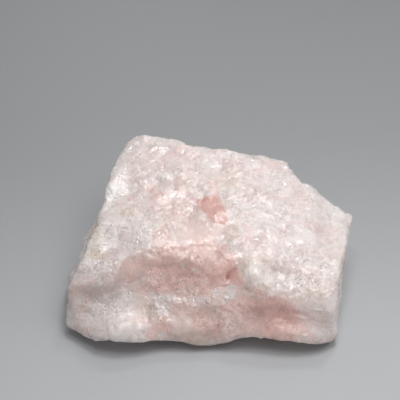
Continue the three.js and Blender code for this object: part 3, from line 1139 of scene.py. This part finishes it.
class Sheet:
    """A material's nodes, with short ways to add the usual ones."""

    def __init__(self, name: str) -> None:
        """Starts an empty material.

        Args:
            name: the material's name.
        """
        self.material = bpy.data.materials.new(name)
        self.material.use_nodes = True
        self.tree = self.material.node_tree
        self.tree.nodes.clear()
        self.output = self.tree.nodes.new("ShaderNodeOutputMaterial")

    def add(self, kind: str, inputs: dict | None = None, **settings) -> bpy.types.Node:
        """Adds a node.

        Args:
            kind: the node's type.
            inputs: values or sockets for its inputs, by name or number.
            settings: the node's own settings.

        Returns:
            The node.
        """
        node = self.tree.nodes.new(kind)
        for name, value in settings.items():
            setattr(node, name, value)
        for key, value in (inputs or {}).items():
            if isinstance(value, bpy.types.NodeSocket):
                self.tree.links.new(value, node.inputs[key])
            else:
                node.inputs[key].default_value = value
        return node

    def place_mm(self, stretch: tuple[float, float, float] = (1, 1, 1)) -> Socket:
        """Places on the piece in millimetres.

        Args:
            stretch: how many times longer a pattern is along X, Y and Z.

        Returns:
            The places.
        """
        place = self.add("ShaderNodeTexCoord").outputs["Object"]
        scale = tuple(1.0 / MM / each for each in stretch)
        return self.add("ShaderNodeMapping", {"Vector": place, "Scale": scale}).outputs["Vector"]

    def kept(self, name: str) -> Socket:
        """One of the values stored on the stone's mesh."""
        return self.add("ShaderNodeAttribute", attribute_name=name).outputs["Fac"]

    def weight(self, zone: Zone) -> Socket:
        """How strongly each place belongs to a zone."""
        return self.kept(zone.value)

    def sum(self, kind: str, first: Socket | float, second: Socket | float, clamp: bool = False) -> Socket:
        """Works out one number from two, such as MULTIPLY or ADD."""
        node = self.add("ShaderNodeMath", {0: first, 1: second}, operation=kind, use_clamp=clamp)
        return node.outputs[0]

    def times(self, first: Socket | float, second: Socket | float) -> Socket:
        """One number times another."""
        return self.sum("MULTIPLY", first, second)

    def plus(self, first: Socket | float, second: Socket | float) -> Socket:
        """One number and another."""
        return self.sum("ADD", first, second)

    def less(self, first: Socket | float, second: Socket | float) -> Socket:
        """One number less another."""
        return self.sum("SUBTRACT", first, second)

    def spread(
        self, value: Socket, low: float, high: float, start: float = 0.0, end: float = 1.0
    ) -> Socket:
        """Eases a value between low and high into start to end.

        Args:
            value: the value.
            low: the value that gives the start.
            high: the value that gives the end.
            start: what it gives up to low.
            end: what it gives from high.

        Returns:
            The eased value.
        """
        node = self.add(
            "ShaderNodeMapRange",
            {"Value": value, "From Min": low, "From Max": high, "To Min": start, "To Max": end},
            interpolation_type="SMOOTHSTEP",
        )
        return node.outputs["Result"]

    def blend(self, share: Socket | float, first: Socket | Colour, second: Socket | Colour) -> Socket:
        """Blends two colours.

        Args:
            share: the share of the second colour.
            first: the first colour.
            second: the second colour.

        Returns:
            The blended colour.
        """
        node = self.add("ShaderNodeMix", data_type="RGBA")
        for key, value in ((0, share), (6, first), (7, second)):
            if isinstance(value, bpy.types.NodeSocket):
                self.tree.links.new(value, node.inputs[key])
            elif isinstance(value, tuple):
                node.inputs[key].default_value = (*value, 1.0)
            else:
                node.inputs[key].default_value = value
        return node.outputs[2]

    def clouds(self, place: Socket, clouds: Clouds) -> Socket:
        """Cloudy values about 0.5.

        Args:
            place: places in millimetres.
            clouds: what the clouds are like.

        Returns:
            The values.
        """
        node = self.add(
            "ShaderNodeTexNoise",
            {
                "Vector": place,
                "Scale": 1.0 / clouds.size_mm,
                "Detail": clouds.detail,
                "Roughness": clouds.rough,
                "Distortion": clouds.twist,
            },
        )
        return node.outputs[0]

    def cells(self, place: Socket, size_mm: float) -> bpy.types.Node:
        """Uneven cells about this wide."""
        return self.add("ShaderNodeTexVoronoi", {"Vector": place, "Scale": 1.0 / size_mm})


@dataclass(frozen=True)
class MilkyBeryl:
    """Milky pink beryl: the body of the stone and everything seen on it and just inside it.

    Args:
        milk: the body's usual colour.
        grey: its cooler, greyer places.
        blush: its pale pink places.
        salmon: its clear, deep pink windows.
        white: its white veils and bruises, and the painted highlight on ridges.
        cream: its creamy places.
        smoke_and_shade: its greyish brown places, also used as painted shade along the foot and in shaded
            bands, dips and hollows.
        pit: the small dark pits in the sugary places.
        stain: the iron stain.
        depth: how far light spreads inside it.
        tint: how far red, green and blue light spread, as shares of the depth.
        inside: the share of the light that goes inside before it comes back.
        ior: how strongly the stone bends light.
        shards_mm: how wide the wide facets and the middling ones are.
        leans: how far the two kinds lean at most.
        crumb_mm: how wide the small facets are.
        steep: how far the small ones lean at most, alone and crowded.
        speckle: how much lighter or darker they are at most, alone and crowded.
        flake_blush: how much of the blush the pinkest flakes have.
        flake_shade: how much lighter or darker flakes are at most.
        crumb_shade: how much lighter or darker crumbs are at most.
        shard_shade: the difference between the lightest middling facets and the darkest.
        ridge_range: from which height on a ridge is whitened, barely and wholly, in millimetres.
        ridge_bruise_and_highlight: how white ridges are at most, partly as bruised edges and partly as a
            painted highlight.
        groove_range: from which depth on a groove is darkened by painted shade, barely and wholly, in
            millimetres.
        groove_painted_shade: how much darker the painted shade makes grooves at most.
        veil: how white the veils are at most.
        veil_shards: how much the wide and middling facets break the veils up.
        pit_range: where a pit's soft edge begins and ends, as shares of its width.
        pit_luck: from which chance number on there is a pit, outside the sugary places and in them.
        pit_edge: how much farther on the pit is whole.
        pit_dark: how dark the pits are.
        gloss_range: how rough the smoothest and the dullest places are.
        fresh: how much smoother freshly broken facets are.
        fresh_luck: from which chance numbers on a small facet is freshly broken, barely and wholly.
        grey_clouds: the greyer clouds in the milk.
        grey_range: from which of their values on the milk turns grey, barely and wholly.
        crowd_clouds: the clouds in which small facets crowd together.
        crowd_range: from which of their values on they crowd, barely and wholly.
        crowd_zones: how much more they crowd in sugary places, and less in calm ones.
        veil_clouds: the clouds that the veils are made from.
        veil_stretch: how many times longer than wide they are along X, Y and Z.
        veil_range: from which of their values on there is a veil, barely and wholly.
        veil_blush: how much of the veils a blush leaves out.
        veil_calm: how much of the veils is left in calm places.
        stain_clouds: the clouds that break up the iron stain.
        gloss_clouds: the clouds between smoother and duller places.
        bump_clouds: the clouds of the finest unevenness.
        bump: how high that is.
        bump_strength: how strong it is.
        lean_calm: how much of the wide and middling facets' lean is left in calm places.
        bend_mm: how wide the bends in the wide and middling facets' edges are.
        pit_mm: how far apart pits are.
    """

    milk: Colour = (0.79, 0.665, 0.645)
    grey: Colour = (0.775, 0.685, 0.66)
    blush: Colour = (0.82, 0.575, 0.535)
    salmon: Colour = (0.70, 0.38, 0.33)
    white: Colour = (0.88, 0.815, 0.795)
    cream: Colour = (0.79, 0.695, 0.615)
    smoke_and_shade: Colour = (0.60, 0.49, 0.45)
    pit: Colour = (0.36, 0.32, 0.29)
    stain: Colour = (0.66, 0.55, 0.40)
    depth: float = 5.0 * MM
    tint: Colour = (1.0, 0.92, 0.88)
    inside: float = 0.72
    ior: float = 1.58
    shards_mm: tuple[float, float] = (2.1, 0.65)
    leans: tuple[float, float] = (0.12, 0.13)
    crumb_mm: float = 0.22
    steep: tuple[float, float] = (0.10, 0.9)
    speckle: tuple[float, float] = (0.05, 0.40)
    flake_blush: float = 0.16
    flake_shade: float = 0.04
    crumb_shade: float = 0.03
    shard_shade: float = 0.08
    ridge_range: tuple[float, float] = (0.015, 0.07)
    ridge_bruise_and_highlight: float = 0.22
    groove_range: tuple[float, float] = (0.01, 0.06)
    groove_painted_shade: float = 0.05
    veil: float = 0.55
    veil_shards: tuple[float, float] = (0.22, 0.14)
    pit_range: tuple[float, float] = (0.18, 0.36)
    pit_luck: tuple[float, float] = (1.0, 0.78)
    pit_edge: float = 0.05
    pit_dark: float = 0.30
    gloss_range: tuple[float, float] = (0.24, 0.42)
    fresh: float = 0.14
    fresh_luck: tuple[float, float] = (0.60, 0.64)
    grey_clouds: Clouds = Clouds(6.0, 3.0, 0.5, 0.6)
    grey_range: tuple[float, float] = (0.46, 0.56)
    crowd_clouds: Clouds = Clouds(2.4, 3.0, 0.6, 0.8)
    crowd_range: tuple[float, float] = (0.54, 0.61)
    crowd_zones: float = 0.10
    veil_clouds: Clouds = Clouds(3.0, 5.0, 0.6, 1.0)
    veil_stretch: tuple[float, float, float] = (2.6, 1.0, 1.0)
    veil_range: tuple[float, float] = (0.67, 0.77)
    veil_blush: float = 0.6
    veil_calm: float = 0.35
    stain_clouds: Clouds = Clouds(0.9)
    gloss_clouds: Clouds = Clouds(2.2)
    bump_clouds: Clouds = Clouds(0.45)
    bump: float = 0.08 * MM
    bump_strength: float = 0.5
    lean_calm: float = 0.25
    bend_mm: float = 1.0 / 0.9
    pit_mm: float = 0.75

    def make(self) -> bpy.types.Material:
        """Builds the material.

        Returns:
            The material.
        """
        sheet = Sheet("milky_beryl")
        place = sheet.place_mm()
        bends = {"Vector": place, "Scale": 1.0 / self.bend_mm, "Detail": 2.0}
        uneven = sheet.add("ShaderNodeTexNoise", bends).outputs[1]
        bent = sheet.add("ShaderNodeVectorMath", {0: place, 1: uneven}, operation="ADD").outputs[0]
        crumbs = sheet.cells(place, self.crumb_mm)
        shards = tuple(sheet.cells(bent, size) for size in self.shards_mm)
        body = self.colour(sheet, place, crumbs, shards)
        shader = sheet.add(
            "ShaderNodeBsdfPrincipled",
            {
                "Base Color": body,
                "Roughness": self.gloss(sheet, place, crumbs),
                "IOR": self.ior,
                "Subsurface Weight": self.inside,
                "Subsurface Radius": self.tint,
                "Subsurface Scale": self.depth,
                "Normal": self.facets(sheet, place, crumbs, shards),
            },
        )
        sheet.tree.links.new(shader.outputs[0], sheet.output.inputs["Surface"])
        return sheet.material

    def colour(self, sheet: Sheet, place: Socket, crumbs: bpy.types.Node, shards: tuple) -> Socket:
        """The stone's colour, from its body out to its specks, with a painted highlight on its ridges and
        painted shade in its grooves.

        Args:
            sheet: the material's nodes.
            place: places in millimetres.
            crumbs: the small facets.
            shards: the wide facets and the middling ones.

        Returns:
            The colour.
        """
        greyer = sheet.spread(sheet.clouds(place, self.grey_clouds), *self.grey_range)
        body = sheet.blend(greyer, self.milk, self.grey)
        flake = sheet.kept("flake")
        body = sheet.blend(sheet.spread(flake, 0.50, 1.0, 0.0, self.flake_blush), body, self.blush)
        # the smoke colour also lays painted shade where its zone was put in shaded places
        for zone, colour in (
            (Zone.BLUSH, self.blush),
            (Zone.SALMON, self.salmon),
            (Zone.SMOKE, self.smoke_and_shade),
            (Zone.CREAM, self.cream),
        ):
            body = sheet.blend(sheet.weight(zone), body, colour)
        body = sheet.blend(self.veils(sheet, shards), body, self.white)
        broken = sheet.clouds(place, self.stain_clouds)
        stain = sheet.sum("MULTIPLY", sheet.weight(Zone.STAIN), broken, True)
        body = sheet.blend(stain, body, self.stain)
        body = sheet.blend(self.pits(sheet, place), body, self.pit)
        shade = self.grains(sheet, place, crumbs)
        shade = sheet.plus(shade, sheet.spread(flake, 0.0, 1.0, -self.flake_shade, self.flake_shade))
        darkest, lightest = 1.0 - self.crumb_shade, 1.0 + self.crumb_shade
        shade = sheet.plus(shade, sheet.spread(sheet.kept("crumb"), 0.0, 1.0, darkest, lightest))
        shard = sheet.less(self.luck(sheet, shards[1]), 0.5)
        shade = sheet.plus(shade, sheet.times(shard, self.shard_shade))
        # painted highlight: ridges are whitened as if they caught the light, and partly as bruised edges
        ridge = sheet.kept("ridge")
        worn = sheet.spread(ridge, *self.ridge_range, 0.0, self.ridge_bruise_and_highlight)
        body = sheet.blend(worn, body, self.white)
        # painted shade: grooves are darkened as if shade fell in them
        groove = sheet.times(ridge, -1.0)
        shade = sheet.less(shade, sheet.spread(groove, *self.groove_range, 0.0, self.groove_painted_shade))
        return sheet.add("ShaderNodeHueSaturation", {"Value": shade, "Color": body}).outputs[0]

    def luck(self, sheet: Sheet, cells: bpy.types.Node, channel: int = 0) -> Socket:
        """One chance number from 0 to 1 for each cell."""
        return sheet.add("ShaderNodeSeparateColor", {0: cells.outputs["Color"]}).outputs[channel]

    def clusters(self, sheet: Sheet, place: Socket) -> Socket:
        """Where small facets crowd together: here and there, and in most of each sugary place.

        Args:
            sheet: the material's nodes.
            place: places in millimetres.

        Returns:
            1 where they crowd, and 0 elsewhere.
        """
        crowd = sheet.clouds(place, self.crowd_clouds)
        crowd = sheet.plus(crowd, sheet.times(sheet.weight(Zone.SUGAR), self.crowd_zones))
        crowd = sheet.less(crowd, sheet.times(sheet.weight(Zone.CALM), self.crowd_zones))
        return sheet.spread(crowd, *self.crowd_range)

    def veils(self, sheet: Sheet, shards: tuple) -> Socket:
        """White veils: broken sheets of fine cracks just under the surface, which end at facets' edges.

        Args:
            sheet: the material's nodes.
            shards: the wide facets and the middling ones.

        Returns:
            How white each place is.
        """
        veil = sheet.clouds(sheet.place_mm(self.veil_stretch), self.veil_clouds)
        for cells, share in zip(shards, self.veil_shards):
            veil = sheet.plus(veil, sheet.times(self.luck(sheet, cells, 1), share))
        veil = sheet.spread(veil, *self.veil_range, 0.0, self.veil)
        blush = sheet.times(sheet.weight(Zone.BLUSH), self.veil_blush)
        pink = sheet.plus(sheet.weight(Zone.SALMON), blush)
        calm = sheet.spread(sheet.weight(Zone.CALM), 0.0, 1.0, 1.0, self.veil_calm)
        veil = sheet.times(sheet.times(veil, sheet.sum("SUBTRACT", 1.0, pink, True)), calm)
        return sheet.sum("MAXIMUM", veil, sheet.weight(Zone.WHITE))

    def grains(self, sheet: Sheet, place: Socket, crumbs: bpy.types.Node) -> Socket:
        """How much lighter or darker each small facet is, most of all where they crowd together."""
        spread = sheet.spread(self.clusters(sheet, place), 0.0, 1.0, *self.speckle)
        return sheet.times(sheet.less(self.luck(sheet, crumbs, 2), 0.5), spread)

    def pits(self, sheet: Sheet, place: Socket) -> Socket:
        """Small dark pits, thick in the sugary places and thin elsewhere.

        Args:
            sheet: the material's nodes.
            place: places in millimetres.

        Returns:
            How deep in a pit each place is.
        """
        holes = sheet.cells(place, self.pit_mm)
        dots = sheet.spread(holes.outputs["Distance"], *self.pit_range, 1.0, 0.0)
        often = sheet.spread(sheet.weight(Zone.SUGAR), 0.0, 1.0, *self.pit_luck)
        chosen = sheet.spread(sheet.less(self.luck(sheet, holes), often), 0.0, self.pit_edge)
        return sheet.times(sheet.times(dots, chosen), self.pit_dark)

    def gloss(self, sheet: Sheet, place: Socket, crumbs: bpy.types.Node) -> Socket:
        """Roughness: glassy on fresh facets, dull on grains."""
        worn = sheet.spread(sheet.clouds(place, self.gloss_clouds), 0.35, 0.65, *self.gloss_range)
        return sheet.plus(worn, sheet.times(self.sparks(sheet, crumbs), -self.fresh))

    def sparks(self, sheet: Sheet, crumbs: bpy.types.Node) -> Socket:
        """Which of the small facets are freshly broken: 1 on those, and 0 on the others."""
        luck = sheet.add("ShaderNodeTexWhiteNoise", {"Vector": crumbs.outputs["Position"]}).outputs["Value"]
        return sheet.spread(luck, *self.fresh_luck)

    def facets(self, sheet: Sheet, place: Socket, crumbs: bpy.types.Node, shards: tuple) -> Socket:
        """The tilts of the facets, from wide and slight to small and steep, and a fine unevenness.

        Args:
            sheet: the material's nodes.
            place: places in millimetres.
            crumbs: the small facets.
            shards: the wide facets and the middling ones.

        Returns:
            The outward direction at each place.
        """
        calm = sheet.spread(sheet.weight(Zone.CALM), 0.0, 1.0, 1.0, self.lean_calm)
        tilted = sheet.add("ShaderNodeNewGeometry").outputs["Normal"]
        for cells, lean in zip(shards, self.leans):
            tilted = self.tilt(sheet, tilted, cells, sheet.times(calm, lean))
        rough = sheet.spread(self.clusters(sheet, place), 0.0, 1.0, *self.steep)
        tilted = self.tilt(sheet, tilted, crumbs, sheet.times(rough, self.sparks(sheet, crumbs)))
        bump = sheet.add(
            "ShaderNodeBump",
            {
                "Height": sheet.clouds(place, self.bump_clouds),
                "Distance": self.bump,
                "Strength": self.bump_strength,
                "Normal": tilted,
            },
        )
        return bump.outputs["Normal"]

    def tilt(self, sheet: Sheet, normal: Socket, cells: bpy.types.Node, lean: Socket) -> Socket:
        """Tilts an outward direction by a chance lean, the same all over each cell.

        Args:
            sheet: the material's nodes.
            normal: the outward direction.
            cells: the cells.
            lean: how far they lean at most.

        Returns:
            The tilted direction.
        """
        way = sheet.add(
            "ShaderNodeVectorMath",
            {0: cells.outputs["Color"], 1: (0.5, 0.5, 0.5)},
            operation="SUBTRACT",
        ).outputs[0]
        way = sheet.add("ShaderNodeVectorMath", {0: way, "Scale": lean}, operation="SCALE").outputs[0]
        tilted = sheet.add("ShaderNodeVectorMath", {0: normal, 1: way}, operation="ADD").outputs[0]
        return sheet.add("ShaderNodeVectorMath", {0: tilted}, operation="NORMALIZE").outputs[0]


@dataclass
class Studio:
    """The floor, the lights and the camera.

    Args:
        near_floor_painted_light: the floor's colour in front of the stone, painted lighter as if more light
            fell there.
        far_floor_painted_shade: its colour behind the stone, painted darker as if the light fell off towards
            the back.
        floor_gloss: how rough the floor is.
        room: the colour of the light from all round.
        low_light: how strong the light from straight below and from level is.
        high_light: how strong it is from straight above.
        fade_mm: where on the floor the one colour begins to turn into the other, and where it ends.
        floor_half: half the floor's width.
        lens: the camera's lens in millimetres.
        elevation: how far above level the camera looks down from.
        distance: from the camera to the point it looks at.
        nearest: how close to the camera things are still seen.
        above: how far above the stone's middle that point is in the view.
        aside: how far to the right of the stone's middle it is.
    """

    near_floor_painted_light: Colour = (0.525, 0.54, 0.56)
    far_floor_painted_shade: Colour = (0.37, 0.38, 0.39)
    floor_gloss: float = 0.5
    room: Colour = (1.0, 0.98, 0.965)
    low_light: float = 0.10
    high_light: float = 0.30
    fade_mm: tuple[float, float] = (-45.0, 50.0)
    floor_half: float = 2.5
    lens: float = 85.0
    elevation: float = math.radians(45.0)
    distance: float = 181.5 * MM
    nearest: float = 10.0 * MM
    above: float = 6.7 * MM
    aside: float = -2.1 * MM

    def build(self) -> None:
        """Makes the floor, the lights and the camera."""
        self.floor()
        for name, place, width, power in (
            ("softbox", (0.05, -0.03, 0.22), 0.14, 0.188),
            ("bright spark", (0.02, 0.0, 0.24), 0.05, 0.10),
            ("back spark", (0.10, 0.22, 0.36), 0.035, 0.15),
            ("side glow", (0.25, -0.10, 0.065), 0.08, 0.08),
            ("top spark", (-0.03, -0.06, 0.25), 0.02, 0.04),
            ("back glow", (-0.06, 0.30, 0.13), 0.12, 0.04),
        ):
            self.light(name, Vector(place), width, power)
        self.surroundings()
        self.camera()
        bpy.context.scene.view_settings.view_transform = "Standard"

    def floor(self) -> None:
        """A pale floor under the stone, painted lighter in front and darker behind as if the light fell off
        towards the back.
        """
        bpy.ops.object.select_all(action="DESELECT")
        bpy.ops.mesh.primitive_plane_add(size=2 * self.floor_half)
        floor = bpy.context.object
        floor.name = "floor"
        sheet = Sheet("pale_floor")
        depth = sheet.add("ShaderNodeSeparateXYZ", {0: sheet.place_mm()}).outputs["Y"]
        # painted light: the floor fades from lighter in front to darker behind, standing in for the light's
        # falloff
        colour = sheet.blend(sheet.spread(depth, *self.fade_mm), self.near_floor_painted_light, self.far_floor_painted_shade)
        finish = {"Base Color": colour, "Roughness": self.floor_gloss}
        shader = sheet.add("ShaderNodeBsdfPrincipled", finish)
        sheet.tree.links.new(shader.outputs[0], sheet.output.inputs["Surface"])
        floor.data.materials.append(sheet.material)

    def light(self, name: str, place: Vector, width: float, power: float) -> None:
        """A square soft light that faces the stone.

        Args:
            name: its name.
            place: where it hangs.
            width: how wide it is.
            power: its strength in watts.
        """
        lamp = bpy.data.lights.new(name, "AREA")
        lamp.shape = "SQUARE"
        lamp.size = width
        lamp.energy = power
        holder = bpy.data.objects.new(name, lamp)
        holder.location = place
        holder.rotation_euler = (-place).to_track_quat("-Z", "Y").to_euler()
        bpy.context.scene.collection.objects.link(holder)

    def surroundings(self) -> None:
        """Dim light from all round, brighter overhead than low down."""
        world = bpy.data.worlds.new("room")
        world.use_nodes = True
        background = world.node_tree.nodes["Background"]
        background.inputs["Color"].default_value = (*self.room, 1.0)
        tree = world.node_tree
        way = tree.nodes.new("ShaderNodeTexCoord")
        split = tree.nodes.new("ShaderNodeSeparateXYZ")
        ramp = tree.nodes.new("ShaderNodeMapRange")
        ramp.inputs["To Min"].default_value = self.low_light
        ramp.inputs["To Max"].default_value = self.high_light
        tree.links.new(way.outputs["Generated"], split.inputs[0])
        tree.links.new(split.outputs["Z"], ramp.inputs["Value"])
        tree.links.new(ramp.outputs["Result"], background.inputs["Strength"])
        bpy.context.scene.world = world

    def camera(self) -> None:
        """The camera, which looks down on the stone's front."""
        low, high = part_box(NODE)
        back = Vector((0.0, -math.cos(self.elevation), math.sin(self.elevation)))
        up = Vector((0.0, math.sin(self.elevation), math.cos(self.elevation)))
        target = (low + high) / 2 + up * self.above + Vector((self.aside, 0.0, 0.0))
        lens = bpy.data.cameras.new("camera")
        lens.lens = self.lens
        lens.clip_start = self.nearest
        holder = bpy.data.objects.new("camera", lens)
        holder.location = target + back * self.distance
        holder.rotation_euler = (-back).to_track_quat("-Z", "Y").to_euler()
        bpy.context.scene.collection.objects.link(holder)
        bpy.context.scene.camera = holder


def main() -> None:
    """Builds the stone and the studio."""
    logging.basicConfig(level=logging.INFO, format="%(name)s: %(message)s")
    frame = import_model()
    stone = Lump().build(frame)
    stone.data.materials.clear()
    stone.data.materials.append(MilkyBeryl().make())
    Studio().build()


if __name__ == "__main__":
    main()
